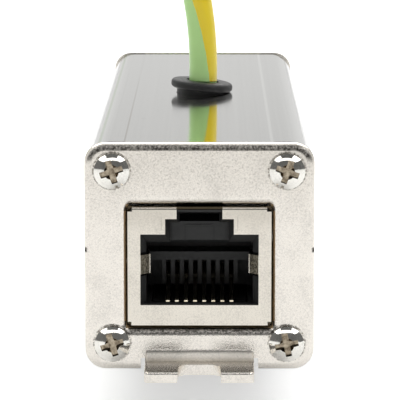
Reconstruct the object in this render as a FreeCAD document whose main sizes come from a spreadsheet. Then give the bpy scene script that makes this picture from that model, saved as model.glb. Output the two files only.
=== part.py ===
import FreeCAD, Part
import math
import os
import re

import Sketcher

os.makedirs("parts", exist_ok=True)
doc = FreeCAD.newDocument("surge_protector")
sheet = doc.addObject("Spreadsheet::Sheet", "sizes")
V = FreeCAD.Vector

# Driving dimensions in millimetres and degrees. X is across the box, Y along it, Z up.
# The front plate faces -Y. Z = 0 is the underside of the rail clip's hooks.
SIZES = {
    # extruded housing
    "housing_length": 96.0,
    "housing_width": 25.2,
    "housing_height": 25.2,
    "housing_wall": 1.3,
    "housing_corner": 2.6,
    "channel_radius": 1.7,
    "channel_bore": 0.9,
    "ledge_width": 1.2,
    "clip_height": 5.4,
    # end plates and their bent feet
    "plate_margin": 0.1,
    "plate_thick": 1.2,
    "plate_corner": 2.3,
    "plate_roll": 0.85,
    "screw_inset": 2.95,
    "screw_hole": 1.2,
    "cutout_side_gap": 0.15,
    "cutout_low_gap": 0.34,
    "cutout_high_gap": 0.27,
    "cutout_corner": 0.6,
    "nick_depth": 0.22,
    "nick_rise": 13.49,
    "nick_half": 0.2,
    "nick_run": 0.75,
    "foot_width": 12.06,
    "foot_reach": 6.65,
    "foot_relief": 0.5,
    "relief_over": 0.15,
    "bend_inside": 1.2,
    "notch_width": 4.7,
    "notch_depth": 3.97,
    "notch_corner": 1.3,
    "tip_round": 0.3,
    # pan-head screws
    "head_radius": 1.95,
    "head_height": 1.45,
    "head_edge": 0.7,
    "shank_radius": 0.8,
    "shank_length": 9.0,
    "recess_span": 2.6,
    "recess_width": 0.68,
    "recess_depth": 0.85,
    # shielded jacks
    "board_rise": 5.0,
    "jack_inset": 0.2,
    "shield_width": 15.9,
    "shield_height": 13.27,
    "shield_depth": 21.0,
    "shield_sheet": 0.25,
    "shield_bend": 0.32,
    "corner_notch": 0.5,
    "corner_notch_run": 0.9,
    "foot_notch": 0.4,
    "mouth_width": 13.07,
    "mouth_bottom": 2.28,
    "mouth_top": 10.21,
    "key_width": 7.58,
    "key_top": 11.93,
    "slot_width": 5.05,
    "insert_gap": 0.1,
    "cavity_width": 11.84,
    "cavity_top": 9.25,
    "cavity_depth": 11.5,
    "inner_key_width": 6.5,
    "inner_key_top": 11.4,
    "inner_slot_width": 4.4,
    "inner_slot_top": 12.46,
    "key_depth": 2.2,
    "key_panel": 3.0,
    "lead_in": 0.7,
    "finger_height": 2.13,
    "finger_rise": 5.72,
    "finger_lean": 1.1,
    "finger_reach": 4.6,
    "finger_knee": 1.1,
    "finger_sheet": 0.28,
    "peg_front": 8.1,
    "peg_width": 1.4,
    "window_width": 10.7,
    "window_front": 1.3,
    "carrier_front": 4.6,
    "carrier_back": 18.5,
    "carrier_height": 1.95,
    "carrier_gap": 0.1,
    "contact_pitch": 1.016,
    "contact_width": 0.4,
    "contact_thick": 0.3,
    "contact_bend": 0.75,
    "contact_front": 2.9,
    "contact_slope": 27.0,
    "contact_reach": 6.6,
    "pin_row": 15.0,
    "pin_stagger": 2.3,
    "comb_rib": 0.45,
    "comb_front": 8.0,
    "comb_bottom": 3.25,
    "comb_top": 5.95,
    "comb_beam": 0.95,
    # circuit board and its parts
    "board_gap": 0.1,
    "board_thick": 1.6,
    "board_end_gap": 0.3,
    "tube_size": 5.0,
    "tube_length": 7.6,
    "tube_near": 15.0,
    "tube_far": 21.6,
    "tube_cap": 1.1,
    "suppressor_length": 4.3,
    "suppressor_width": 3.6,
    "suppressor_height": 2.3,
    "suppressor_x": 3.7,
    "suppressor_y": 9.2,
    "lead_width": 2.0,
    "lead_height": 1.2,
    "pin_drill": 0.45,
    "post_radius": 1.95,
    "post_height": 6.0,
    # grommet and earth wire
    "grommet_radius": 3.9,
    "grommet_thick": 1.15,
    "grommet_rim": 0.5,
    "grommet_neck": 3.1,
    "grommet_tilt": 6.0,
    "grommet_hole": 3.2,
    "grommet_bore": 2.05,
    "wire_shift": 0.2,
    "wire_radius": 1.75,
    "wire_bare": 1.0,
    "sleeve_radius": 2.3,
    "sleeve_length": 11.0,
    "ring_radius": 4.0,
    "ring_hole": 2.15,
    "ring_thick": 0.9,
    # clip for a 35 mm top-hat rail
    "clip_width": 21.0,
    "web_thick": 1.0,
    "latch_thick": 1.0,
    "latch_gap": 0.1,
    "latch_width": 12.8,
    "lip_thick": 1.0,
    "lip_reach": 1.2,
    "rail_slot": 1.2,
    "hook_thick": 1.0,
    "hook_wall": 1.5,
    "rail_width": 35.0,
    "hook_reach": 1.8,
    "clip_screw_x": 8.6,
    "clip_screw_y": 12.0,
    "sink_radius": 2.2,
    "sink_depth": 1.2,
    "flat_head_radius": 1.9,
    "flat_head_height": 1.1,
    "flat_recess_span": 2.4,
    "flat_recess_width": 0.5,
    "flat_recess_depth": 0.6,
    "lug_width": 2.6,
    "lug_front": 4.0,
    "lug_back": 5.2,
    "latch_tail": 13.0,
    "latch_window": 3.0,
    "tab_width": 9.0,
    "tab_length": 10.0,
    "tab_slot_width": 5.2,
    "tab_slot_front": 5.0,
    "tab_slot_back": 7.5,
    "spring_radius": 0.62,
    "spring_wire": 0.15,
    "spring_turns": 12,
    "spring_length": 12.6,
}
for row, (alias, number) in enumerate(SIZES.items(), 1):
    sheet.set(f"A{row}", alias)
    sheet.set(f"B{row}", str(number))
    sheet.setAlias(f"B{row}", alias)
doc.recompute()

WORDS = re.compile(r"\b(" + "|".join(sorted(SIZES, key=len, reverse=True)) + r")\b")


def linked(text):
    """An expression written with the sheet's aliases, as the document reads it."""
    return WORDS.sub(r"sizes.\1", str(text))


def val(text):
    """The number that an expression has now."""
    return float(sheet.evalExpression(linked(text)))


def bind(thing, prop, text):
    thing.setExpression(prop, linked(text))


def put(thing, x=0, y=0, z=0):
    """Binds a thing's place to three expressions."""
    for axis, text in zip("xyz", (x, y, z)):
        bind(thing, f"Placement.Base.{axis}", text)
    return thing


def turn(thing, axis, degrees):
    thing.Placement.Rotation = FreeCAD.Rotation(axis, degrees)


def made(kind, label):
    thing = doc.addObject(kind, label)
    thing.Label = label
    return thing


def box(label, x0, x1, y0, y1, z0, z1):
    """A block between three pairs of expressions."""
    block = made("Part::Box", label)
    bind(block, "Length", f"({x1}) - ({x0})")
    bind(block, "Width", f"({y1}) - ({y0})")
    bind(block, "Height", f"({z1}) - ({z0})")
    return put(block, x0, y0, z0)


def rod(label, axis, radius, length, x, y, z):
    """A round bar from a point along an axis."""
    bar = made("Part::Cylinder", label)
    bind(bar, "Radius", radius)
    bind(bar, "Height", length)
    turn(bar, *{"x": (V(0, 1, 0), 90), "y": (V(1, 0, 0), -90), "z": (V(0, 0, 1), 0)}[axis])
    return put(bar, x, y, z)


def wedge(label, near, far, y0, y1):
    """A block that tapers from one x0, x1, z0, z1 rectangle at y0 to another at y1."""
    taper = made("Part::Wedge", label)
    names = ("Xmin", "Xmax", "Zmin", "Zmax", "X2min", "X2max", "Z2min", "Z2max", "Ymin", "Ymax")
    for name, text in zip(names, (*near, *far, y0, y1)):
        bind(taper, name, text)
    return taper


def cut(label, base, *tools):
    """Base without the tools."""
    tool = tools[0]
    if len(tools) > 1:
        tool = made("Part::MultiFuse", label + "_tools")
        tool.Shapes = list(tools)
    result = made("Part::Cut", label)
    result.Base = base
    result.Tool = tool
    return result


def fuse(label, *shapes):
    result = made("Part::MultiFuse", label)
    result.Shapes = list(shapes)
    result.Refine = True
    return result


def group(label, *shapes):
    """Separate solids of one kind under one name."""
    result = made("Part::Compound", label)
    result.Links = list(shapes)
    return result


def rounded(label, base, choose, radius):
    """Fillets the edges that choose(edge) picks."""
    doc.recompute()
    fillet = made("Part::Fillet", label)
    fillet.Base = base
    number = val(radius)
    picked = [i for i, edge in enumerate(base.Shape.Edges, 1) if choose(edge)]
    fillet.Edges = [(i, number, number) for i in picked]
    return fillet


PLANES = {"front": "XZ_Plane", "top": "XY_Plane", "side": "YZ_Plane"}


def corner_points(points):
    """Splits each rounded right-angled corner of an outline into the two ends of its arc."""
    count = len(points)
    spread = []
    for i, (a, b, r) in enumerate(points):
        if r is None:
            spread.append([(a, b)])
            continue
        pair = []
        for other in (points[i - 1], points[(i + 1) % count]):
            da = val(other[0]) - val(a)
            db = val(other[1]) - val(b)
            if abs(da) > abs(db):
                pair.append((f"{a} {'+' if da > 0 else '-'} ({r})", b))
            else:
                pair.append((a, f"{b} {'+' if db > 0 else '-'} ({r})"))
        spread.append(pair)
    return spread


def add_outline(sketch, points):
    """Draws a closed outline of (a, b, corner radius or None), every end bound to its expression."""
    spread = corner_points(points)
    count = len(spread)
    lines = []
    for i in range(count):
        ends = (spread[i][-1], spread[(i + 1) % count][0])
        first, last = (V(val(a), val(b), 0) for a, b in ends)
        line = sketch.addGeometry(Part.LineSegment(first, last), False)
        lines.append(line)
        for end, (a, b) in zip((1, 2), ends):
            if end == 2 and len(spread[(i + 1) % count]) == 1:
                continue
            place = V(val(a), val(b), 0)
            for kind, number, text in (("DistanceX", place.x, a), ("DistanceY", place.y, b)):
                limit = sketch.addConstraint(Sketcher.Constraint(kind, -1, 1, line, end, number))
                bind(sketch, f"Constraints[{limit}]", text)
    for i, (a, b, r) in enumerate(points):
        before = lines[i - 1]
        after = lines[i]
        if r is None:
            sketch.addConstraint(Sketcher.Constraint("Coincident", before, 2, after, 1))
            continue
        start, end = (V(val(p), val(q), 0) for p, q in spread[i])
        corner = V(val(a), val(b), 0)
        centre = start + end - corner
        left = (start - centre).cross(end - centre).z > 0
        ends = (start, end) if left else (end, start)
        angles = [math.atan2(p.y - centre.y, p.x - centre.x) for p in ends]
        if angles[1] < angles[0]:
            angles[1] += 2 * math.pi
        arc = Part.ArcOfCircle(Part.Circle(centre, V(0, 0, 1), val(r)), *angles)
        number = sketch.addGeometry(arc, False)
        first, second = (1, 2) if left else (2, 1)
        sketch.addConstraint(Sketcher.Constraint("Coincident", before, 2, number, first))
        sketch.addConstraint(Sketcher.Constraint("Coincident", number, second, after, 1))
        limit = sketch.addConstraint(Sketcher.Constraint("Radius", number, val(r)))
        bind(sketch, f"Constraints[{limit}]", r)


def add_circle(sketch, a, b, radius):
    centre = V(val(a), val(b), 0)
    ring = sketch.addGeometry(Part.Circle(centre, V(0, 0, 1), val(radius)), False)
    limits = (
        (("DistanceX", -1, 1, ring, 3, centre.x), a),
        (("DistanceY", -1, 1, ring, 3, centre.y), b),
        (("Radius", ring, val(radius)), radius),
    )
    for limit, text in limits:
        place = sketch.addConstraint(Sketcher.Constraint(*limit))
        bind(sketch, f"Constraints[{place}]", text)


def profile(label, view, outlines, circles, length, x=0, y=0, z=0):
    """A body padded from one sketch. Front profiles grow towards -Y, top to +Z, side to +X."""
    body = made("PartDesign::Body", label)
    sketch = body.newObject("Sketcher::SketchObject", label + "_sketch")
    plane = [p for p in body.Origin.OriginFeatures if p.Role == PLANES[view]][0]
    sketch.AttachmentSupport = [(plane, "")]
    sketch.MapMode = "FlatFace"
    for outline in outlines:
        add_outline(sketch, outline)
    for circle in circles:
        add_circle(sketch, *circle)
    pad = body.newObject("PartDesign::Pad", label + "_pad")
    pad.Profile = sketch
    bind(pad, "Length", length)
    return put(body, x, y, z)


def rectangle(x0, x1, z0, z1, radius=None):
    return [(x0, z0, radius), (x1, z0, radius), (x1, z1, radius), (x0, z1, radius)]


HALF = "housing_length / 2"
SCREW_X = "(housing_width / 2 - screw_inset)"
SCREW_Z = "(housing_height / 2 - screw_inset)"
FLOOR = "clip_height"
MIDDLE = "clip_height + housing_height / 2"
TOP = "clip_height + housing_height"
PLATE_HALF = "(housing_width / 2 + plate_margin)"
PLATE_BOTTOM = "clip_height - plate_margin"
BOARD_HALF = "(housing_width / 2 - screw_inset - channel_radius - board_gap)"
BOARD_TOP = "clip_height - plate_margin + board_rise"
BOARD_UNDER = BOARD_TOP + " - board_thick"

# The housing is one aluminium extrusion: a hollow box with a screw channel in each corner and
# two ledges for the board, drilled for the grommet and the four clip screws.
shell = profile(
    "housing_shell",
    "front",
    [
        rectangle(
            "-housing_width / 2", "housing_width / 2", FLOOR, TOP, "housing_corner"
        ),
        rectangle(
            "-(housing_width / 2 - housing_wall)",
            "housing_width / 2 - housing_wall",
            FLOOR + " + housing_wall",
            TOP + " - housing_wall",
            "housing_corner - housing_wall",
        ),
    ],
    [],
    "housing_length",
    y=HALF,
)
solid = [shell]
bores = []
for side in ("-", ""):
    for level in ("-", "+"):
        x = f"{side}{SCREW_X}"
        z = f"{MIDDLE} {level} {SCREW_Z}"
        far_x = f"{side}(housing_width / 2 - housing_wall + 0.2)"
        far_z = f"{MIDDLE} {level} (housing_height / 2 - housing_wall + 0.2)"
        name = f"channel_{len(bores)}"
        solid.append(rod(name, "y", "channel_radius", "housing_length", x, f"-{HALF}", z))
        near = (x, far_x) if side == "" else (far_x, x)
        high = (z, far_z) if level == "+" else (far_z, z)
        solid.append(box(name + "_corner", *near, f"-{HALF}", HALF, *high))
        bores.append(
            rod(name + "_bore", "y", "channel_bore", "housing_length + 2", x, f"-{HALF} - 1", z)
        )
    inner = f"{side}{BOARD_HALF}"
    outer = f"{side}({BOARD_HALF} - ledge_width)"
    span = (outer, inner) if side == "" else (inner, outer)
    ledge_floor = FLOOR + " + housing_wall - 0.2"
    solid.append(box("ledge" + side, *span, f"-{HALF}", HALF, ledge_floor, BOARD_UNDER))
bores.append(rod("grommet_hole_tool", "z", "grommet_hole", "4", 0, 0, TOP + " - 3"))
for side in ("-", ""):
    for end in ("-", ""):
        at = (f"{side}clip_screw_x", f"{end}clip_screw_y", FLOOR + " - 1")
        name = f"clip_thread{side}{end}x"
        bores.append(rod(name, "z", "channel_bore", "housing_wall + 2.3", *at))
housing = cut("housing", fuse("housing_blank", *solid), *bores)


def plate(label):
    """A punched end plate with the cut-out for the jack, four holes and the bent foot."""
    holes = []
    for side in ("-", ""):
        for level in ("-", "+"):
            z = f"{MIDDLE} {level} {SCREW_Z}"
            holes.append((f"{side}{SCREW_X}", z, "screw_hole"))
    top = TOP + " + plate_margin"
    low = PLATE_BOTTOM + " + board_rise - cutout_low_gap"
    cutout_half = "(shield_width / 2 + cutout_side_gap)"
    sheet_metal = profile(
        label + "_sheet",
        "front",
        [
            rectangle(f"-{PLATE_HALF}", PLATE_HALF, PLATE_BOTTOM, top, "plate_corner"),
            rectangle(
                f"-{cutout_half}",
                cutout_half,
                low,
                PLATE_BOTTOM + " + board_rise + shield_height + cutout_high_gap",
                "cutout_corner",
            ),
        ],
        holes,
        "plate_thick",
        y=f"-{HALF}",
    )
    face = val(f"-{HALF} - plate_thick")
    hole_radius = val("screw_hole")

    def rolled_edge(edge):
        ends = [v.Point.y for v in edge.Vertexes]
        if any(abs(y - face) > 1e-4 for y in ends):
            return False
        whole = edge.Closed and abs(edge.Length - 2 * math.pi * hole_radius) < 1e-3
        return not whole

    rolled = rounded(label + "_rolled", sheet_metal, rolled_edge, "plate_roll")
    bend_top = f"{PLATE_BOTTOM} + bend_inside + plate_thick + 0.1"
    half_relief = "foot_width / 2 + foot_relief"
    back = f"-{HALF} + 1"
    relief = box(
        label + "_relief",
        f"-({half_relief})",
        half_relief,
        f"-{HALF} - plate_thick - 1",
        back,
        PLATE_BOTTOM + " - 1",
        PLATE_BOTTOM + " + plate_thick + relief_over",
    )
    nicks = []
    for side in ("-", ""):
        deep = f"{side}({PLATE_HALF} - nick_depth)"
        past = f"{side}({PLATE_HALF} + 1)"
        span = (deep, past) if side == "" else (past, deep)
        z = PLATE_BOTTOM + " + nick_rise"
        inside = f"-{HALF} - plate_thick + nick_run"
        low, top = (z + " - nick_half", z + " + nick_half")
        ends = (f"-{HALF} - plate_thick - 1", inside, low, top)
        nicks.append(box(f"{label}_nick{side}", *span, *ends))
    flat = cut(label + "_flat", rolled, relief, *nicks)
    tip = f"-{HALF} - plate_thick - foot_reach"
    angle = profile(
        label + "_angle",
        "side",
        [
            [
                (f"-{HALF}", bend_top, None),
                (f"-{HALF} - plate_thick", bend_top, None),
                (f"-{HALF} - plate_thick", PLATE_BOTTOM + " + plate_thick", None),
                (tip, PLATE_BOTTOM + " + plate_thick", None),
                (tip, PLATE_BOTTOM, None),
                (f"-{HALF}", PLATE_BOTTOM, None),
            ]
        ],
        [],
        "foot_width",
        x="-foot_width / 2",
    )
    low = val(PLATE_BOTTOM)
    thick = val("plate_thick")

    def along_x(y, z):
        """Picks the edges along X through one point."""

        def lies(edge):
            ends = [v.Point for v in edge.Vertexes]
            return all(abs(p.y - y) < 1e-4 and abs(p.z - z) < 1e-4 for p in ends)

        return lies

    bent = rounded(label + "_bent", angle, along_x(face, low + thick), "bend_inside")
    outer_bend = along_x(face + thick, low)
    foot = rounded(label + "_foot", bent, outer_bend, "bend_inside + plate_thick")
    notch_end = tip + " + notch_depth"
    notch = profile(
        label + "_notch",
        "top",
        [
            [
                ("-notch_width / 2", tip + " - 2", None),
                ("notch_width / 2", tip + " - 2", None),
                ("notch_width / 2", notch_end, "notch_corner"),
                ("-notch_width / 2", notch_end, "notch_corner"),
            ]
        ],
        [],
        "plate_thick + 2",
        z=PLATE_BOTTOM + " - 1",
    )
    forked = cut(label + "_forked", foot, notch)
    tip_y = val(tip)
    wide = val("foot_width / 2")

    def leg_corner(edge):
        ends = [v.Point for v in edge.Vertexes]
        upright = len(ends) == 2 and abs(ends[0].z - ends[1].z) > 0.9 * val("plate_thick")
        at_tip = all(abs(p.y - tip_y) < 1e-4 for p in ends)
        return upright and at_tip and all(abs(abs(p.x) - wide) < 1e-4 for p in ends)

    legs = rounded(label + "_legs", forked, leg_corner, "cutout_corner")
    eased = rounded(label + "_eased", legs, along_x(tip_y, low + thick), "tip_round")
    return fuse(label, flat, eased)


def facing_back(label, thing):
    """A copy turned half round the upright axis, for the other end of the box."""
    copy = made("Part::Compound", label + "_turned")
    copy.Links = [thing]
    turn(copy, V(0, 0, 1), 180)
    return copy


def pan_screw(label, side, level, twist):
    """A pan-head screw with a cross recess, its head on the front plate."""
    head = rod(label + "_rim", "z", "head_radius", "head_height", 0, 0, 0)
    rise = "(head_height - head_edge)"
    ball_radius = f"(head_radius * head_radius + {rise} * {rise}) / (2 * {rise})"
    ball = made("Part::Sphere", label + "_dome")
    bind(ball, "Radius", ball_radius)
    put(ball, 0, 0, f"head_height - {ball_radius}")
    dome = made("Part::MultiCommon", label + "_head")
    dome.Shapes = [head, ball]
    shank = rod(label + "_shank", "z", "shank_radius", "shank_length", 0, 0, "-shank_length")
    wing = ("-recess_span / 2", "recess_span / 2", "-recess_width / 2", "recess_width / 2")
    deep = ("head_height - recess_depth", "head_height + 1")
    one = box(label + "_wing", *wing, *deep)
    two = box(label + "_cross", *wing[2:], *wing[:2], *deep)
    point = made("Part::Cone", label + "_point")
    bind(point, "Radius1", "recess_width / 2")
    bind(point, "Radius2", "recess_width * 1.3")
    bind(point, "Height", "recess_depth")
    put(point, 0, 0, "head_height - recess_depth")
    screw = cut(label, fuse(label + "_solid", dome, shank), one, two, point)
    spin = FreeCAD.Rotation(V(0, 0, 1), twist)
    screw.Placement.Rotation = FreeCAD.Rotation(V(1, 0, 0), 90) * spin
    z = f"{MIDDLE} {level} {SCREW_Z}"
    return put(screw, f"{side}{SCREW_X}", f"-{HALF} - plate_thick", z)


JACK_FACE = f"(-{HALF} - plate_thick + jack_inset)"


def deep(text):
    """The Y place at a depth behind the jack's face."""
    return f"{JACK_FACE} + {text}"


def high(text):
    """The Z place at a height above the board."""
    return f"{BOARD_TOP} + {text}"


def jack_shield(label):
    """One folded sheet over the jack: front with the stepped mouth, top, sides, back, two pegs."""
    half = "shield_width / 2"
    outer = box(
        label + "_outer", f"-{half}", half, deep(0), deep("shield_depth"), high(0),
        high("shield_height"),
    )
    fold_y = val(deep(0))
    fold_z = val(high("shield_height"))

    def fold(edge):
        ends = [v.Point for v in edge.Vertexes]
        return all(abs(p.y - fold_y) < 1e-4 and abs(p.z - fold_z) < 1e-4 for p in ends)

    outer = rounded(label + "_bent", outer, fold, "shield_bend")
    hollow = box(
        label + "_hollow",
        f"-{half} + shield_sheet",
        f"{half} - shield_sheet",
        deep("shield_sheet"),
        deep("shield_depth - shield_sheet"),
        high(-1),
        high("shield_height - shield_sheet"),
    )
    steps = []
    for width, low, top in (
        ("mouth_width", "mouth_bottom", "mouth_top"),
        ("key_width", "mouth_bottom", "key_top"),
        ("slot_width", "mouth_bottom", "shield_height + 1"),
    ):
        steps.append(
            box(
                f"{label}_step_{width}", f"-{width} / 2", f"{width} / 2", deep(-1),
                deep("shield_sheet"), high(low), high(top),
            )
        )
    for side in ("-", ""):
        for name, low, top, size in (
            ("top", "shield_height - corner_notch", "shield_height + 1", "corner_notch"),
            ("low", "-1", "foot_notch", "foot_notch"),
        ):
            near = f"{side}({half} - {size})"
            past = f"{side}({half} + 1)"
            span = (near, past) if side == "" else (past, near)
            steps.append(
                box(f"{label}_{name}{side}x", *span, deep(-1), deep("corner_notch_run"),
                    high(low), high(top))
            )
    folded = cut(label + "_folded", outer, hollow, *steps)
    extras = [folded]
    for side in ("-", ""):
        strip = [
            ("mouth_width / 2 + 0.6", deep(0), None),
            ("mouth_width / 2 + 0.05", deep(0), None),
            ("mouth_width / 2 - finger_lean", deep("finger_knee"), None),
            ("mouth_width / 2 - finger_lean + 0.3", deep("finger_reach"), None),
            ("mouth_width / 2 - finger_lean + 0.3 + finger_sheet", deep("finger_reach"), None),
            ("mouth_width / 2 - finger_lean + finger_sheet", deep("finger_knee"), None),
            ("mouth_width / 2 + 0.2", deep("shield_sheet"), None),
            ("mouth_width / 2 + 0.6", deep("shield_sheet"), None),
        ]
        if side == "-":
            strip = [(f"-({a})", b, r) for a, b, r in strip]
        extras.append(
            profile(f"{label}_finger{side}x", "top", [strip], [], "finger_height",
                    z=high("finger_rise"))
        )
        inner = f"{side}({half} - shield_sheet)"
        face = f"{side}({half})"
        span = (inner, face) if side == "" else (face, inner)
        extras.append(
            box(f"{label}_peg{side}x", *span, deep("peg_front"), deep("peg_front + peg_width"),
                high("-board_thick * 0.6"), high(1.0))
        )
    return fuse(label, *extras)


def jack_insert(label):
    """The moulded insert: stepped plug cavity with lead-in, contact window, comb, back pocket."""
    half = "(shield_width / 2 - shield_sheet - insert_gap)"
    near = "(shield_sheet + 0.05)"
    block = box(
        label + "_block", f"-{half}", half, deep(near),
        deep("shield_depth - shield_sheet - insert_gap - 0.2"), high(0),
        high("shield_height - shield_sheet - insert_gap"),
    )
    tools = []
    floor = "mouth_bottom + 0.1"
    for name, mouth, inner, low, mouth_top, inner_top, depth in (
        ("plug", "mouth_width", "cavity_width", floor, "mouth_top", "cavity_top",
         "cavity_depth"),
        ("key", "key_width", "inner_key_width", floor, "key_top", "inner_key_top",
         "key_depth"),
        ("slot", "slot_width", "inner_slot_width", "inner_key_top - 0.05",
         "inner_slot_top + 0.25", "inner_slot_top", "cavity_depth - 4"),
    ):
        tools.append(
            box(f"{label}_{name}", f"-{inner} / 2", f"{inner} / 2", deep(-1), deep(depth),
                high(low), high(inner_top))
        )
        tools.append(
            wedge(
                f"{label}_{name}_lead_in",
                (f"-{mouth} / 2", f"{mouth} / 2", high(low), high(mouth_top)),
                (f"-{inner} / 2", f"{inner} / 2", high(low), high(inner_top)),
                deep(near + " - 0.02"),
                deep(near + " + lead_in"),
            )
        )
    tools.append(
        box(label + "_window", "-window_width / 2", "window_width / 2", deep("window_front"),
            deep("carrier_back + carrier_gap"), high(-1), high("mouth_bottom + 0.2"))
    )
    tools.append(
        box(label + "_pocket", f"-{half} + 0.9", f"{half} - 0.9", deep("cavity_depth + 1.5"),
            deep("shield_depth + 1"), high("mouth_bottom + 0.55"), high("shield_height - 1.4"))
    )
    reach = f"{half} - 0.35"
    tools.append(
        box(label + "_finger_room", f"-({reach})", reach, deep(-1), deep("finger_reach + 0.6"),
            high("finger_rise - 0.25"), high("finger_rise + finger_height + 0.25"))
    )
    ribs = []
    for i in range(9):
        x = f"({i} - 4) * contact_pitch"
        ribs.append(
            box(f"{label}_rib_{i}", f"{x} - comb_rib / 2", f"{x} + comb_rib / 2",
                deep("comb_front"), deep("cavity_depth + 0.1"), high("comb_bottom"),
                high("comb_top"))
        )
    beam = box(label + "_beam", f"-{half} + 1", f"{half} - 1", deep("comb_front"),
               deep("cavity_depth + 0.1"), high("comb_top"), high("comb_top + comb_beam"))
    panel = box(label + "_panel", "-key_panel / 2", "key_panel / 2", deep("key_depth - 0.12"),
                deep("key_depth + 0.5"), high("cavity_top + 0.1"), high("inner_key_top - 0.4"))
    return fuse(label, cut(label + "_hollowed", block, *tools), panel, beam, *ribs)


CONTACT_LOW = "(mouth_bottom + 0.25 - 2 * contact_bend)"


def contact_x(i):
    return f"({i} - 3.5) * contact_pitch"


def pin_place(i):
    return f"pin_row + {i % 2} * pin_stagger"


def contact_carrier(label):
    """The block on the board that keeps the eight contacts in grooves, with holes for their pins."""
    half = "(window_width / 2 - carrier_gap)"
    block = box(label + "_block", f"-{half}", half, deep("carrier_front"),
                deep("carrier_back"), high(0), high("carrier_height"))
    tools = []
    for i in range(8):
        x = contact_x(i)
        wide = (f"{x} - contact_width / 2 - 0.1", f"{x} + contact_width / 2 + 0.1")
        groove = high(CONTACT_LOW + " - 0.02")
        tools.append(
            box(f"{label}_groove_{i}", *wide, deep("carrier_front - 1"),
                deep(pin_place(i) + " + 0.3"), groove, high("carrier_height + 1"))
        )
        at = pin_place(i)
        tools.append(
            box(f"{label}_hole_{i}", *wide, deep(at + " - 0.3"), deep(at + " + 0.3"), high(-1),
                high("carrier_height + 1"))
        )
    return cut(label, block, *tools)


def contact(label, i):
    """One spring contact: pin, lower leg, round bend at the front, sloping leg into the cavity."""
    x = contact_x(i)
    wide = (f"{x} - contact_width / 2", f"{x} + contact_width / 2")
    centre_y = deep("contact_front + contact_bend")
    centre_z = high(CONTACT_LOW + " + contact_bend")
    at = pin_place(i)
    pin = box(label + "_pin", *wide, deep(at + " - contact_thick / 2"),
              deep(at + " + contact_thick / 2"), high(-2.4),
              high(CONTACT_LOW + " + contact_thick"))
    leg = box(label + "_leg", *wide, centre_y, deep(at + " + contact_thick / 2"),
              high(CONTACT_LOW), high(CONTACT_LOW + " + contact_thick"))
    outer = rod(label + "_bend", "x", "contact_bend", "contact_width", wide[0], centre_y, centre_z)
    sweep = "180 - contact_slope"
    bind(outer, "Angle", sweep)
    lie = FreeCAD.Rotation(V(0, 1, 0), V(0, 0, 1), V(1, 0, 0), "ZXY")
    outer.Placement.Rotation = lie * FreeCAD.Rotation(V(0, 0, 1), 90 + val("contact_slope"))
    inner = rod(label + "_bend_hole", "x", "contact_bend - contact_thick",
                "contact_width + 2", wide[0] + " - 1", centre_y, centre_z)
    bend = cut(label + "_ring", outer, inner)
    arm = box(label + "_arm", *wide, 0, "contact_reach", 0, "contact_thick")
    turn(arm, V(1, 0, 0), val("contact_slope"))
    put(
        arm,
        wide[0],
        f"{centre_y} - (contact_bend - contact_thick) * sin(contact_slope)",
        f"{centre_z} + (contact_bend - contact_thick) * cos(contact_slope)",
    )
    return fuse(label, pin, leg, bend, arm)


def tube(label, y):
    """A gas discharge tube: ceramic barrel with square electrodes, across the board."""
    half = "tube_length / 2"
    parts = [
        rod(label + "_barrel", "x", "tube_size / 2 - 0.2", "tube_length", f"-{half}", y,
            high("tube_size / 2"))
    ]
    ends = (
        (f"-{half}", f"-{half} + tube_cap"),
        ("-tube_cap / 2", "tube_cap / 2"),
        (f"{half} - tube_cap", half),
    )
    for i, span in enumerate(ends):
        parts.append(
            box(f"{label}_plate_{i}", *span, f"{y} - tube_size / 2", f"{y} + tube_size / 2",
                high(0), high("tube_size"))
        )
    return fuse(label, *parts)


def suppressor(label, side, end):
    """A clamping diode in a moulded package with two folded leads."""
    x = f"{side}suppressor_x"
    y = f"{end}suppressor_y"
    half = ("suppressor_width / 2", "suppressor_length / 2")
    package = box(label + "_package_block", f"{x} - {half[0]}", f"{x} + {half[0]}",
                  f"{y} - {half[1]}", f"{y} + {half[1]}", high(0.15), high("suppressor_height"))
    leads = [
        box(f"{label}_lead_{i}", f"{x} - lead_width / 2", f"{x} + lead_width / 2", *span,
            high(0), high("lead_height"))
        for i, span in enumerate(
            (
                (f"{y} - {half[1]} - 0.3", f"{y} - {half[1]} + 1.0"),
                (f"{y} + {half[1]} - 1.0", f"{y} + {half[1]} + 0.3"),
            )
        )
    ]
    return fuse(label, package, *leads)


# Both ends of the box carry the same plate, screws and jack, the rear ones turned half round.
TWISTS = {("-", "+"): 18, ("", "+"): -20, ("-", "-"): 18, ("", "-"): 12}
nodes = [housing]
for end in ("front", "rear"):
    pieces = {
        "plate": plate(f"{end}_plate_part"),
        "jack_shield": jack_shield(f"{end}_shield_part"),
        "jack_housing": jack_insert(f"{end}_insert_part"),
        "contact_carrier": contact_carrier(f"{end}_carrier_part"),
        "screws": group(
            f"{end}_screw_set",
            *(
                pan_screw(f"{end}_screw_{n}", side, level, twist)
                for n, ((side, level), twist) in enumerate(TWISTS.items(), 1)
            ),
        ),
    }
    for i in range(8):
        pieces[f"contact_{i + 1}"] = contact(f"{end}_contact_part_{i + 1}", i)
    for name, piece in pieces.items():
        if end == "rear":
            piece = facing_back(f"{end}_{name}", piece)
        piece.Label = f"{end}_{name}"
        nodes.append(piece)

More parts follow.
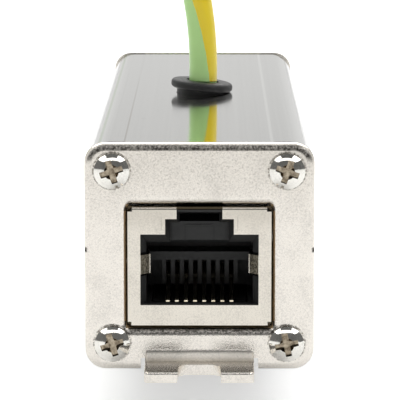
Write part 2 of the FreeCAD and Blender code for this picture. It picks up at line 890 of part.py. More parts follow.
# The board lies on the ledges between the two plates. Its edges are notched for the shields' pegs
# and it is drilled for the contacts' pins.
board = box("board_blank", f"-{BOARD_HALF}", BOARD_HALF, f"-{HALF} + board_end_gap",
            f"{HALF} - board_end_gap", BOARD_UNDER, BOARD_TOP)
drills = []
for end in ("", "-"):
    for side in ("-", ""):
        near = f"{side}(shield_width / 2 - shield_sheet - 0.1)"
        past = f"{side}(shield_width / 2 + 1)"
        span = (near, past) if side == "" else (past, near)
        front = f"{end}({deep('peg_front - 0.2')})"
        back = f"{end}({deep('peg_front + peg_width + 0.2')})"
        along = (front, back) if end == "" else (back, front)
        name = f"peg_notch{end}{side}x"
        drills.append(box(name, *span, *along, BOARD_UNDER + " - 1", BOARD_TOP + " + 1"))
    for i in range(8):
        x = f"{end}({contact_x(i)})"
        y = f"{end}({deep(pin_place(i))})"
        name = f"pin_hole{end}_{i}"
        drills.append(rod(name, "z", "pin_drill", "board_thick + 2", x, y, BOARD_UNDER + " - 1"))
circuit_board = cut("circuit_board", board, *drills)
nodes.append(circuit_board)

places = ("-tube_far", "-tube_near", "tube_near", "tube_far")
nodes.extend(tube(f"gas_tube_{n}", y) for n, y in enumerate(places, 1))
corners = (("-", "-"), ("", "-"), ("-", ""), ("", ""))
nodes.extend(suppressor(f"suppressor_{n}", *corner) for n, corner in enumerate(corners, 1))

# The earth wire's bared end stands in a turned post on the board. The insulated part runs up
# through the grommet.
post = cut(
    "board_terminal",
    rod("post_blank", "z", "post_radius", "post_height", "wire_shift", 0, high(0)),
    rod("post_bore", "z", "wire_bare + 0.15", "post_height", "wire_shift", 0, high(1.5)),
)
nodes.append(post)
WIRE_START = TOP + " + 1.4"
insulated = rod("wire_inside", "z", "wire_radius", f"{WIRE_START} - ({high('post_height + 0.3')})",
                "wire_shift", 0, high("post_height + 0.3"))
bared = rod("wire_bared", "z", "wire_bare", "post_height - 1.0", "wire_shift", 0, high(1.5))
nodes.append(fuse("earth_wire_inner", insulated, bared))

# The grommet's flange lifts on the left, as the wire pulls it.
neck_low = TOP + " - housing_wall"
seat = f"{TOP} + (grommet_radius - grommet_rim) * sin(grommet_tilt) + 0.02"
flange = rod("flange_disc", "z", "grommet_radius", "grommet_thick", 0, 0, 0)
flange = rounded("flange_round", flange, lambda edge: edge.Closed, "grommet_rim")
turn(flange, V(0, 1, 0), val("grommet_tilt"))
put(flange, 0, 0, seat)
neck = rod("grommet_neck_part", "z", "grommet_neck", f"{seat} + 0.5 - ({neck_low} - 0.5)", 0, 0,
           neck_low + " - 0.5")
collar = rod("grommet_collar", "z", "grommet_radius - 0.3", "0.9", 0, 0, neck_low + " - 0.95")
wire_hole = rod("grommet_bore_tool", "z", "grommet_bore", "12", "wire_shift", 0,
                neck_low + " - 3")
nodes.append(cut("grommet", fuse("grommet_blank", flange, neck, collar), wire_hole))

# The free earth wire: straight runs joined by tangent arcs, over to the left and down, then
# along the surface beside the box.
start_z = val(WIRE_START) + 0.1
route = [
    V(val("wire_shift"), 0, start_z),
    V(0.6, 0.5, start_z + 13.5),
    V(-11.5, 0, start_z + 33.5),
    V(-34.5, -6, start_z + 33),
    V(-46, -14, start_z + 9.5),
    V(-46.5, 9, 1.8),
    V(-44.5, 40, 1.8),
    V(-40.5, 68, 2.35),
]


def cord_path(points):
    """Straight runs with a tangent arc at each inner point. Prints each arc's radius."""
    edges = []
    here = points[0]
    for before, corner, after in zip(points, points[1:], points[2:]):
        come = (corner - before).normalize()
        leave = (after - corner).normalize()
        reach = 0.45 * min((corner - before).Length, (after - corner).Length)
        half_turn = come.getAngle(leave) / 2
        radius = reach / math.tan(half_turn)
        into = corner - come * reach
        out = corner + leave * reach
        inward = (leave - come).normalize()
        centre = corner + inward * (radius / math.cos(half_turn))
        middle = centre - inward * radius
        edges.append(Part.makeLine(here, into))
        edges.append(Part.Arc(into, middle, out).toShape())
        print(f"wire turn {math.degrees(2 * half_turn):.1f} degrees, radius {radius:.1f} mm")
        here = out
    edges.append(Part.makeLine(here, points[-1]))
    return Part.Wire(edges)


path = cord_path(route)
print(f"wire length {path.Length:.1f} mm")
section = Part.Wire([Part.makeCircle(val("wire_radius"), route[0], route[1] - route[0])])
earth_wire = made("Part::Feature", "earth_wire")
earth_wire.Shape = path.makePipeShell([section], True, False)
nodes.append(earth_wire)

# The ring terminal on the wire's end, with its insulating sleeve. Both lie on the surface.
end_point = route[-1]
heading = route[-1] - route[-2]
flat_heading = math.degrees(math.atan2(heading.y, heading.x))
along = FreeCAD.Rotation(V(0, 0, 1), flat_heading)
sleeve = cut(
    "sleeve_part",
    rod("sleeve_outer", "x", "sleeve_radius", "sleeve_length", "-sleeve_length / 2", 0, 0),
    rod("sleeve_inner", "x", "wire_radius + 0.25", "sleeve_length + 2",
        "-sleeve_length / 2 - 1", 0, 0),
)
barrel = rod("barrel", "x", "wire_radius", "sleeve_length / 2 + 1.2", "0.1", 0, 0)
palm_low = "-(sleeve_radius - 0.35)"
reach = "sleeve_length / 2 + 1.2"
palm = box("palm", reach + " - 1.2", reach + " + ring_radius + 0.5", "-wire_radius",
           "wire_radius", palm_low, palm_low + " + ring_thick")
ring_centre = reach + " + ring_radius + 0.6"
ring = rod("ring_disc", "z", "ring_radius", "ring_thick", ring_centre, 0, palm_low)
ring_bore = rod("ring_bore", "z", "ring_hole", "ring_thick + 4", ring_centre, 0,
                palm_low + " - 2")
terminal = cut("terminal_part", fuse("terminal_blank", barrel, palm, ring), ring_bore)
for label, thing in (("terminal_sleeve", sleeve), ("ring_terminal", terminal)):
    thing.Placement = FreeCAD.Placement(end_point, along)
    thing.Label = label
    nodes.append(thing)

# The rail clip: a web under the housing with a fixed hook, and two guides whose lips carry the
# sliding latch. The rail's flanges lie against the guides, between the two hooks.
half_clip = "clip_width / 2"
web_low = FLOOR + " - web_thick"
latch_top = web_low + " - latch_gap"
latch_low = latch_top + " - latch_thick"
lip_top = latch_low + " - latch_gap"
seat_low = lip_top + " - lip_thick"
hook_top = seat_low + " - rail_slot"
fixed_wall = "-(rail_width / 2 + 0.2)"
latch_wall = "rail_width / 2 + 0.1"
guide_inner = "(latch_width / 2 + 0.2)"
clip_parts = [
    box("clip_web", f"-{half_clip}", half_clip, fixed_wall + " - hook_wall",
        latch_wall + " + hook_wall", web_low, FLOOR),
    box("clip_hook_wall", f"-{half_clip}", half_clip, fixed_wall + " - hook_wall", fixed_wall,
        hook_top + " - hook_thick", FLOOR),
    box("clip_hook", f"-{half_clip}", half_clip, fixed_wall + " - hook_wall",
        fixed_wall + " + hook_reach", hook_top + " - hook_thick", hook_top),
    box("clip_lug", "-lug_width / 2", "lug_width / 2", "lug_front", "lug_back",
        latch_low + " + 0.1", FLOOR),
]
for side in ("-", ""):
    wall_span = (f"{side}{guide_inner}", f"{side}({half_clip})")
    lip_span = (f"{side}({guide_inner} - lip_reach)", f"{side}({half_clip})")
    if side == "-":
        wall_span = wall_span[::-1]
        lip_span = lip_span[::-1]
    ends = (fixed_wall + " - 0.2", latch_wall + " - 0.2")
    clip_parts.append(box(f"guide{side}x", *wall_span, *ends, seat_low, FLOOR))
    clip_parts.append(box(f"lip{side}x", *lip_span, *ends, seat_low, lip_top))
sinks = []
clip_screws = []
for side in ("-", ""):
    for end in ("-", ""):
        x, y = (f"{side}clip_screw_x", f"{end}clip_screw_y")
        name = f"{side}{end}".replace("-", "m") + "x"
        hole = rod("clip_hole_" + name, "z", "channel_bore + 0.15", "8", x, y, seat_low + " - 1")
        sink = made("Part::Cone", "clip_sink_" + name)
        cone = ("sink_radius", "channel_bore + 0.1", "sink_depth")
        for prop, text in zip(("Radius1", "Radius2", "Height"), cone):
            bind(sink, prop, text)
        put(sink, x, y, seat_low)
        sinks.extend([hole, sink])
        head = made("Part::Cone", "clip_head_" + name)
        cone = ("flat_head_radius", "shank_radius", "flat_head_height")
        for prop, text in zip(("Radius1", "Radius2", "Height"), cone):
            bind(head, prop, text)
        put(head, x, y, seat_low + " + 0.1")
        shank = rod("clip_shank_" + name, "z", "shank_radius", f"{FLOOR} + 1.6 - ({seat_low})",
                    x, y, seat_low + " + 0.5")
        recess = []
        for x_size, y_size in (("flat_recess_span", "flat_recess_width"),
                               ("flat_recess_width", "flat_recess_span")):
            sides = (f"{x} - {x_size} / 2", f"{x} + {x_size} / 2")
            fronts = (f"{y} - {y_size} / 2", f"{y} + {y_size} / 2")
            recess.append(box(f"clip_{x_size}_" + name, *sides, *fronts, seat_low + " - 1",
                              seat_low + " + flat_recess_depth"))
        clip_screws.append(cut("clip_screw_" + name, fuse("clip_solid_" + name, head, shank),
                               *recess))
nodes.append(cut("rail_clip", fuse("clip_blank", *clip_parts), *sinks))
nodes.append(group("clip_screws", *clip_screws))

# The latch slides along the clip. A spring in its window pushes it back towards the rail.
half_latch = "latch_width / 2"
window_start = "(lug_front - 0.4 - spring_length)"
latch_parts = [
    box("latch_plate", f"-{half_latch}", half_latch, "-latch_tail", latch_wall + " + hook_wall",
        latch_low, latch_top),
    box("latch_hook_wall", f"-{half_clip}", half_clip, latch_wall, latch_wall + " + hook_wall",
        hook_top + " - hook_thick", latch_top),
    box("latch_hook", f"-{half_clip}", half_clip, latch_wall + " - hook_reach",
        latch_wall + " + hook_wall", hook_top + " - hook_thick", hook_top),
    box("latch_tab", "-tab_width / 2", "tab_width / 2", latch_wall,
        latch_wall + " + tab_length", latch_low, latch_top),
]
latch_tools = [
    box("latch_window_tool", "-latch_window / 2", "latch_window / 2", window_start,
        "lug_back + 0.1", latch_low + " - 1", latch_top + " + 1"),
    box("latch_slot", "-tab_slot_width / 2", "tab_slot_width / 2",
        latch_wall + " + tab_slot_front", latch_wall + " + tab_slot_back", latch_low + " - 1",
        latch_top + " + 1"),
]
nodes.append(cut("rail_latch", fuse("latch_blank", *latch_parts), *latch_tools))

spring_centre = latch_top + " - spring_radius - spring_wire"
coil = made("Part::Helix", "coil")
bind(coil, "Radius", "spring_radius")
bind(coil, "Height", "spring_length")
bind(coil, "Pitch", "spring_length / spring_turns")
turn(coil, V(1, 0, 0), -90)
put(coil, 0, f"{window_start} + spring_wire + 0.05", spring_centre)
doc.recompute()
coil_start = coil.Shape.Edges[0].valueAt(coil.Shape.Edges[0].FirstParameter)
coil_heading = coil.Shape.Edges[0].tangentAt(coil.Shape.Edges[0].FirstParameter)
wire_ring = Part.Wire([Part.makeCircle(val("spring_wire"), coil_start, coil_heading)])
latch_spring = made("Part::Feature", "latch_spring")
latch_spring.Shape = Part.Wire(coil.Shape.Edges).makePipeShell([wire_ring], True, True)
nodes.append(latch_spring)

doc.recompute()
for thing in doc.Objects:
    if "Invalid" in thing.State or "Error" in thing.State:
        raise SystemExit(f"{thing.Label}: {thing.State}")
for thing in nodes:
    shape = thing.Shape
    if shape.isNull() or not shape.isValid():
        raise SystemExit(f"{thing.Label} has no valid shape")
    print(f"{thing.Label}: {len(shape.Solids)} solid(s), {shape.Volume:.1f} mm3")
    shape.exportStep(f"parts/{thing.Label}.step")
print(len(nodes), "nodes")
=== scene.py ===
import math

import bpy
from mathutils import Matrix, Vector


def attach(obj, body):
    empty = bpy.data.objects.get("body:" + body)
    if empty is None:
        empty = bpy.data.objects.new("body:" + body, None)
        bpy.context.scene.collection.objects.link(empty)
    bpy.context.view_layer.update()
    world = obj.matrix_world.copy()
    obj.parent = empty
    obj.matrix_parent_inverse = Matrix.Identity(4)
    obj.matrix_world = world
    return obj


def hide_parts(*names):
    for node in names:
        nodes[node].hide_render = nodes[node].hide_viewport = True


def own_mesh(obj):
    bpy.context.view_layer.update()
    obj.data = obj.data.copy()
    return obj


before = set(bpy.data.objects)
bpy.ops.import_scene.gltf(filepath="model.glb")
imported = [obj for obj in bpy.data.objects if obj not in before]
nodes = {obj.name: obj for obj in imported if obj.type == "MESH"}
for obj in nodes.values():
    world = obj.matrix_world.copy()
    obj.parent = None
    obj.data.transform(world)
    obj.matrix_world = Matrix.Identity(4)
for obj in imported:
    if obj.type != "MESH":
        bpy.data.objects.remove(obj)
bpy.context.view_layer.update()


# Housing: one length of extruded aluminium with a bright polished skin. The die leaves fine
# lines along it. Toward its sides are a green line, a painted reflection of the earth wire,
# a pale line, and a brown line that grows toward the front.

class Field:
    """A number in a node tree. It adds, multiplies and divides as a plain number does."""

    def __init__(self, tree, socket):
        self.tree = tree
        self.socket = socket

    def __add__(self, other):
        return self.tree.maths("ADD", self, other)

    def __sub__(self, other):
        return self.tree.maths("SUBTRACT", self, other)

    def __rsub__(self, other):
        return self.tree.maths("SUBTRACT", other, self)

    def __mul__(self, other):
        return self.tree.maths("MULTIPLY", self, other)

    def __truediv__(self, other):
        return self.tree.maths("DIVIDE", self, other)

    def __rtruediv__(self, other):
        return self.tree.maths("DIVIDE", other, self)

    def __neg__(self):
        return self * -1.0

    __radd__ = __add__
    __rmul__ = __mul__

    def size(self):
        return self.tree.maths("ABSOLUTE", self)

    def over(self, low):
        return self.tree.maths("MAXIMUM", self, low)

    def root(self):
        return self.tree.maths("SQRT", self)

    def within(self, low, high, edge):
        """1 between two numbers, 0 beyond them, with soft edges of a given width."""
        return self.span(low, low + edge) * self.span(high, high - edge)

    def span(self, low, high, to_low=0.0, to_high=1.0):
        """Goes evenly from to_low to to_high while the number goes from low to high."""
        inputs = {
            "Value": self, "From Min": low, "From Max": high,
            "To Min": to_low, "To Max": to_high,
        }
        made = self.tree.node("ShaderNodeMapRange", {"clamp": True}, inputs)
        return Field(self.tree, made.outputs["Result"])


class Tree:
    """The node tree of a material or of the world. One method makes all its nodes."""

    def __init__(self, owner):
        owner.use_nodes = True
        self.nodes = owner.node_tree.nodes
        self.links = owner.node_tree.links
        self.nodes.clear()

    def node(self, kind, settings, inputs):
        """A node of one type. Its settings or a ramp's stops come first, then its inputs."""
        made = self.nodes.new(kind)
        for key, value in settings.items():
            if key == "stops":
                while len(made.color_ramp.elements) < len(value):
                    made.color_ramp.elements.new(0.5)
                for element, (position, colour) in zip(made.color_ramp.elements, value):
                    element.position = position
                    element.color = colour
            else:
                setattr(made, key, value)
        for key, value in inputs.items():
            self.feed(made.inputs[key], value)
        return made

    def feed(self, target, value):
        """Links a field or a socket to an input, or sets the input to a plain value."""
        value = value.socket if isinstance(value, Field) else value
        if isinstance(value, bpy.types.NodeSocket):
            self.links.new(value, target)
        else:
            target.default_value = value

    def maths(self, operation, first, second=0.0):
        made = self.node("ShaderNodeMath", {"operation": operation}, {0: first, 1: second})
        return Field(self, made.outputs[0])


class Paint(Tree):
    """A procedural material on the object's own coordinates, in metres."""

    def __init__(self, name, colour, roughness, metallic=0.0, coat=0.0):
        self.material = bpy.data.materials.new(name)
        super().__init__(self.material)
        look = {
            "Base Color": (*colour, 1.0), "Roughness": roughness,
            "Metallic": metallic, "Coat Weight": coat,
        }
        self.shader = self.node("ShaderNodeBsdfPrincipled", {}, look)
        surface = {"Surface": self.shader.outputs[0]}
        self.output = self.node("ShaderNodeOutputMaterial", {}, surface)
        self.place = self.node("ShaderNodeTexCoord", {}, {}).outputs["Object"]
        split = self.node("ShaderNodeSeparateXYZ", {}, {"Vector": self.place})
        self.x, self.y, self.z = (Field(self, socket) for socket in split.outputs)

    def noise(self, scale, detail=2.0, roughness=0.5):
        """Noise from 0 to 1, with a number of waves a metre or one number for each axis."""
        scale = scale if isinstance(scale, tuple) else (scale, scale, scale)
        spread = self.node(
            "ShaderNodeVectorMath", {"operation": "MULTIPLY"}, {0: self.place, 1: scale}
        )
        inputs = {
            "Vector": spread.outputs[0], "Scale": 1.0,
            "Detail": detail, "Roughness": roughness,
        }
        made = self.node("ShaderNodeTexNoise", {}, inputs)
        return Field(self, made.outputs[0])

    def mix(self, amount, first, second):
        """One colour or another, by an amount from 0 to 1."""
        first = first if isinstance(first, bpy.types.NodeSocket) else (*first, 1.0)
        second = second if isinstance(second, bpy.types.NodeSocket) else (*second, 1.0)
        made = self.node("ShaderNodeMix", {"data_type": "RGBA"}, {0: amount, 6: first, 7: second})
        return made.outputs[2]

    def set(self, name, value):
        self.feed(self.shader.inputs[name], value)

    def bump(self, height, distance, strength):
        inputs = {"Height": height, "Distance": distance, "Strength": strength}
        made = self.node("ShaderNodeBump", {}, inputs)
        self.set("Normal", made.outputs[0])


def line_at(place, centre, half_width):
    """1 on a thin line, 0 beside it."""
    return (place - centre).size().span(half_width, half_width * 0.3)


def dress(paint, *names):
    """Gives a material to nodes of the part."""
    for name in names:
        nodes[name].data.materials.clear()
        nodes[name].data.materials.append(paint.material)


def reach(name, axis):
    """The farthest place of a node's shape along an axis."""
    return max(vertex.co["XYZ".index(axis)] for vertex in nodes[name].data.vertices)


box_end = reach("housing", "Y")
box_top = reach("housing", "Z")
aluminium = Paint("polished_aluminium", (0.80, 0.80, 0.79), 0.12, 1.0)
draw_lines = aluminium.noise((2600.0, 6.0, 2600.0), 3.0, 0.6)
broad_lines = aluminium.noise((420.0, 3.0, 420.0))
specks = aluminium.noise((900.0, 500.0, 900.0)).span(0.72, 0.8)
tone = draw_lines * 0.5 + broad_lines * 0.5
alu_colour = aluminium.mix(tone.span(0.3, 0.7), (0.74, 0.735, 0.725), (0.83, 0.825, 0.815))
toward_front = aluminium.y.span(0.02, -0.03, 0.1, 0.7)
# A painted reflection of the earth wire in green, then a pale line and a brown line.
wide_lines_and_wire_reflection = (
    (-0.0111, 0.00026, 0.8, (0.45, 0.56, 0.38)),
    (-0.0083, 0.00014, toward_front, (0.38, 0.33, 0.28)),
    (0.0080, 0.00026, 0.9, (0.99, 0.99, 0.97)),
)
for line_x, half_width, strength, line_colour in wide_lines_and_wire_reflection:
    wide_line_mask = line_at(aluminium.x, line_x, half_width) * strength
    alu_colour = aluminium.mix(wide_line_mask, alu_colour, line_colour)
# Painted shadow of the gap between the housing's ends and the plates, beside the top corners.
end_gap_shadow = aluminium.x.size().within(0.0081, 0.0107, 0.0003)
end_gap_shadow = end_gap_shadow * aluminium.y.size().span(box_end - 0.0012, box_end - 0.001)
end_gap_shadow = end_gap_shadow * aluminium.z.span(box_top - 0.0006, box_top - 0.0005)
alu_colour = aluminium.mix(end_gap_shadow * 0.95, alu_colour, (0.03, 0.03, 0.03))
alu_colour = aluminium.mix(specks * 0.35, alu_colour, (0.35, 0.34, 0.33))
aluminium.set("Base Color", alu_colour)
aluminium.set("Roughness", broad_lines.span(0.3, 0.7, 0.07, 0.13))
aluminium.bump(draw_lines + specks * 0.4, 0.000004, 0.5)
dress(aluminium, "housing")


# End plates: punched and bent from 1.2 mm steel, then nickel plated. The plating
# keeps the sheet's fine grain but is brown and dull on the sheared walls of the
# cut-out. Each plate is held by four screws.

sheet = 0.0012
corner_radius = 0.0023
screw_reach = 0.00965
plate_half = reach("front_plate", "X")
plate_top = reach("front_plate", "Z")
plate_middle = plate_top - plate_half
plate_face = box_end + sheet
foot_face = plate_top - 2 * plate_half + sheet
foot_half = 0.006
cut_out_half = 0.0081
cut_out_low = 0.0099
cut_out_high = 0.0239


def nickel(name, colour, low, high, grain):
    """Nickel plate over rolled steel, with the grain of the sheet showing through."""
    paint = Paint(name, colour, low, 1.0)
    fine = paint.noise(5200.0, 3.0, 0.65)
    cloud = paint.noise(330.0, 3.0)
    dark = tuple(c * 0.8 for c in colour)
    pale = tuple(min(1.0, c * 1.05) for c in colour)
    shade = fine * 0.6 + cloud * 0.4
    paint.plain_colour = paint.mix(shade.span(0.34, 0.54), dark, pale)
    paint.plain_roughness = cloud.span(0.3, 0.7, low, high)
    paint.set("Base Color", paint.plain_colour)
    paint.set("Roughness", paint.plain_roughness)
    paint.bump(fine, grain, 0.6)
    return paint


def screw_way(paint):
    """The square of the distance from the axis of the nearest end screw."""
    aside = paint.x.size() - screw_reach
    upward = (paint.z - plate_middle).size() - screw_reach
    return aside * aside + upward * upward


plate_nickel = nickel("satin_nickel", (0.93, 0.885, 0.82), 0.17, 0.23, 0.00003)
aside = plate_nickel.x.size()
height = plate_nickel.z
depth = plate_nickel.y.size()
# A patchy noise that breaks up the painted shade and reflection below, and the foot top's
# darkening.
patchiness = plate_nickel.noise(4200.0, 2.0, 0.6).span(0.35, 0.6, 0.35, 1.0)

# Painted dark reflection of the room on the rolled edge: along the top, its corners and below the
# jack.
side_way = (aside - (plate_half - corner_radius)).over(0.0)
up_way = (height - (plate_top - corner_radius)).over(0.0)
corner_way = (side_way * side_way + up_way * up_way + 1e-10).root()
top_roll = (corner_radius - corner_way).within(0.00018, 0.0009, 0.00015)
top_roll = top_roll * (up_way / corner_way).span(0.1, 0.5)
low_roll = height.within(0.0093, cut_out_low, 0.0001)
low_roll = low_roll * aside.span(cut_out_half + 0.0003, cut_out_half)
rolls = top_roll + low_roll

# The foot: top darkened in patches; dull bend with painted shade growing to both ends and above it.
on_foot = height.span(foot_face - 0.0001, foot_face)
foot_top_dark = depth.within(plate_face + 0.0008, plate_face + 0.0064, 0.0003)
foot_top_dark = foot_top_dark * height.span(foot_face - 0.0001, foot_face - 0.00004) * patchiness * 0.55
bend = depth.span(plate_face + 0.00002, plate_face + 0.0001)
bend = bend * depth.span(plate_face + 0.0013, plate_face + 0.001)
bend = bend * on_foot * aside.span(foot_half + 0.0002, foot_half)
bend_shade = bend * aside.span(0.0012, 0.0034, 0.0, 0.15)
shade_above_bend = height.span(0.009, 0.0077) * height.span(0.0075, 0.0077)
shade_above_bend = shade_above_bend * aside.within(0.0008, foot_half + 0.0002, 0.0014)
shade_above_bend = shade_above_bend * depth.span(plate_face - 0.0001, plate_face - 0.00005) * patchiness * 0.42

# The face: sanding and painted shade that grow toward the top, painted shadow round each
# head and in two nicks.
sand = plate_nickel.noise(3900.0, 3.0, 0.7).span(0.5, 0.66)
sanded = sand * height.span(0.02, 0.029, 0.14, 0.55)
worn = plate_nickel.mix(sanded, plate_nickel.plain_colour, (0.42, 0.38, 0.33))
# Painted shade: the face darkens toward the top.
worn = plate_nickel.mix(height.span(0.021, 0.0295) * 0.25, worn, (0.58, 0.54, 0.47))
# Painted shadow in a patchy ring round each screw head.
head_shadow_ring = screw_way(plate_nickel).root().within(0.0019, 0.0022, 0.0001)
head_shadow_ring = head_shadow_ring * patchiness.span(0.5, 1.0) * 0.8
worn = plate_nickel.mix(head_shadow_ring, worn, (0.12, 0.1, 0.07))
# Painted shadow in the two nicks at the plate's sides.
nick_shadow = aside.span(plate_half - 0.00035, plate_half - 0.0002)
nick_shadow = nick_shadow * height.within(plate_middle + 0.00045, plate_middle + 0.0011, 0.0001)
worn = plate_nickel.mix(nick_shadow * 0.9, worn, (0.05, 0.04, 0.03))
# Painted dark reflection on the rolled edges, in patches.
worn = plate_nickel.mix(rolls * patchiness * 0.93, worn, (0.05, 0.045, 0.04))
# The foot's top is darkened in patches; the bend and the plate above it get painted shade.
worn = plate_nickel.mix(foot_top_dark, worn, (0.2, 0.17, 0.13))
worn = plate_nickel.mix(bend_shade + shade_above_bend, worn, (0.3, 0.27, 0.22))

# The sheared walls of the cut-out.
wall = aside.span(cut_out_half + 0.00006, cut_out_half + 0.00003)
wall = wall * height.within(cut_out_low + 0.00003, cut_out_high - 0.00003, 0.00002)
plate_nickel.set("Base Color", plate_nickel.mix(wall, worn, (0.42, 0.3, 0.17)))
plate_nickel.set("Roughness", plate_nickel.plain_roughness + rolls * 0.22 + bend * 0.34)
plate_nickel.set("Metallic", 1 - wall * 0.85)
dress(plate_nickel, "front_plate", "rear_plate")


# Screws: cold-headed steel with a cross recess and bright nickel plate. The recess, below
# the dome of the head, is darkened with mottled painted shade.

dome_radius = 0.00291
dome_top = plate_face + 0.00145
recess_reach = 0.0016
screw_nickel = nickel("bright_nickel", (0.93, 0.91, 0.86), 0.06, 0.1, 0.000003)
from_axis = screw_way(screw_nickel)
below_dome = dome_top - from_axis / (2 * dome_radius) - screw_nickel.y.size()
in_recess = below_dome.span(0.00003, 0.00012)
in_recess = in_recess * from_axis.span(recess_reach ** 2, (recess_reach - 0.0001) ** 2)
mottle = screw_nickel.noise(2300.0, 3.0, 0.6).span(0.35, 0.65)
# Painted shade in the recess, mottled.
recess_colour = screw_nickel.mix(mottle, (0.17, 0.135, 0.095), (0.5, 0.43, 0.33))
head_colour = screw_nickel.mix(in_recess, screw_nickel.plain_colour, recess_colour)
screw_nickel.set("Base Color", head_colour)
dress(screw_nickel, "front_screws", "rear_screws", "clip_screws")


# Jack shields: folded from thin nickel-plated sheet and pegged to the board, with
# a sprung finger on each side of the mouth. Their outer sides are brown and dull.

shield_half = reach("front_jack_shield", "X")
finger_inner = 0.00556
finger_outer = 0.00652
finger_low = 0.01595
finger_high = 0.0182
key_half = 0.00252
press_line_x = 0.00422
press_line_half = 0.00007
shield_nickel = nickel("shield_nickel", (0.8, 0.755, 0.675), 0.16, 0.22, 0.000006)
aside = shield_nickel.x.size()
height = shield_nickel.z
# Painted shade: the shield darkens toward its top.
high_shade = height.span(0.0205, 0.0226) * 0.3
toned = shield_nickel.mix(high_shade, shield_nickel.plain_colour, (0.42, 0.38, 0.32))
press_line = line_at(aside, press_line_x, press_line_half)
press_line = press_line * height.within(0.0208, 0.0228, 0.0005)
toned = shield_nickel.mix(press_line * 0.4, toned, (0.3, 0.27, 0.23))
finger = aside.within(finger_inner, finger_outer, 0.00003)
finger = finger * height.within(finger_low, finger_high, 0.00002)
speckle = shield_nickel.noise(4200.0, 2.0, 0.6).span(0.35, 0.65)
finger_colour = shield_nickel.mix(speckle, (0.05, 0.045, 0.035), (0.2, 0.18, 0.14))
toned = shield_nickel.mix(finger, toned, finger_colour)
# Painted shadow in the notches at the shield's sides; a dark strip along its top beside the key.
high_edge = aside.span(key_half + 0.00004, key_half) * height.span(0.0232, 0.02326)
notch_shadow = aside.span(0.0074, 0.00744)
notch_shadow = notch_shadow * shield_nickel.y.size().span(box_end + 0.00015, box_end + 0.0001)
dark_edge_and_notch_shadow = (high_edge + notch_shadow).span(0.0, 1.0)
toned = shield_nickel.mix(dark_edge_and_notch_shadow, toned, (0.07, 0.055, 0.035))
side_wall = aside.span(shield_half - 0.00002, shield_half - 0.000005)
toned = shield_nickel.mix(side_wall, toned, (0.5, 0.37, 0.22))
shield_nickel.set("Base Color", toned)
shield_nickel.set("Metallic", 1 - side_wall * 0.85)
dress(shield_nickel, "front_jack_shield", "rear_jack_shield")


# Jack inserts and contact carriers: black moulded plastic with a faint moulded
# texture, pushed into the shields from behind. A fine line is painted round the
# panel of the key.

panel_middle = 0.0202
panel_half_width = 0.0016
panel_half_height = 0.0009
panel_line_half = 0.00009
insert_mouth = box_end - 0.002
black_plastic = Paint("black_plastic", (0.016, 0.017, 0.017), 0.42)
black_grain = black_plastic.noise(3000.0)
aside = black_plastic.x.size()
depth = black_plastic.y.size()
# Painted shade deep in the insert, low down by the comb.
comb_shade = depth.span(0.0415, 0.0412) * black_plastic.z.span(0.0163, 0.0142)
panel_rise = (black_plastic.z - panel_middle).size()
panel_sides = line_at(aside, panel_half_width, panel_line_half)
panel_sides = panel_sides * panel_rise.span(panel_half_height + 0.00004, panel_half_height)
panel_ends = line_at(panel_rise, panel_half_height, panel_line_half)
panel_ends = panel_ends * aside.span(panel_half_width + 0.00004, panel_half_width)
panel_line = (panel_sides + panel_ends).span(0.0, 1.0)
panel_line = panel_line * depth.span(insert_mouth - 0.0005, insert_mouth) * 0.7
insert_colour = black_plastic.mix(comb_shade, (0.014, 0.0145, 0.0145), (0.002, 0.002, 0.002))
insert_colour = black_plastic.mix(panel_line, insert_colour, (0.004, 0.004, 0.004))
black_plastic.set("Base Color", insert_colour)
black_plastic.set("Roughness", black_grain.span(0.3, 0.7, 0.36, 0.5))
black_plastic.bump(black_grain, 0.000006, 0.5)
dress(
    black_plastic,
    "front_jack_housing", "rear_jack_housing", "front_contact_carrier", "rear_contact_carrier",
)


# Contacts: phosphor bronze wire, gold plated, eight to a jack. They are bent, lie
# between the insert's ribs and are pinned into the board.

gold = Paint("gold_plate", (0.95, 0.86, 0.66), 0.14, 1.0)
gold_cloud = gold.noise(900.0)
gold.set("Base Color", gold.mix(gold_cloud.span(0.3, 0.7), (0.93, 0.82, 0.6), (0.97, 0.9, 0.74)))
gold.set("Roughness", gold_cloud.span(0.3, 0.7, 0.1, 0.18))
for end in ("front", "rear"):
    dress(gold, *(f"{end}_contact_{i}" for i in range(1, 9)))


# Circuit board: glass laminate under green solder mask, bare at its cut ends. It
# lies on the housing's ledges.

board_end = reach("circuit_board", "Y")
laminate = Paint("board_laminate", (0.02, 0.16, 0.06), 0.3)
weave = laminate.noise(1400.0)
solder_mask = laminate.mix(weave, (0.015, 0.13, 0.045), (0.03, 0.19, 0.075))
cut_end = laminate.y.size().span(board_end - 0.0001, board_end - 0.00005)
laminate.set("Base Color", laminate.mix(cut_end, solder_mask, (0.3, 0.2, 0.09)))
laminate.bump(weave, 0.00001, 0.4)
dress(laminate, "circuit_board")


# Gas discharge tubes: ceramic barrels brazed between tinned square electrodes.
# They lie on the board, one for each pair.

ring_half = 0.00055
barrel_half = 0.0027
ceramic = Paint("tube_ceramic", (0.8, 0.78, 0.73), 0.3)
from_middle = ceramic.x.size()
metal = from_middle.span(ring_half, ring_half + 0.00002, 1.0, 0.0)
metal = metal + from_middle.span(barrel_half - 0.00002, barrel_half)
ceramic.set("Base Color", ceramic.mix(metal, (0.82, 0.8, 0.75), (0.7, 0.7, 0.69)))
ceramic.set("Metallic", metal)
ceramic.set("Roughness", ceramic.noise(800.0).span(0.3, 0.7, 0.2, 0.34))
dress(ceramic, *(f"gas_tube_{i}" for i in range(1, 5)))


# Clamping diodes: black epoxy packages with a pale cathode band. They lie on the
# board, one for each pair.

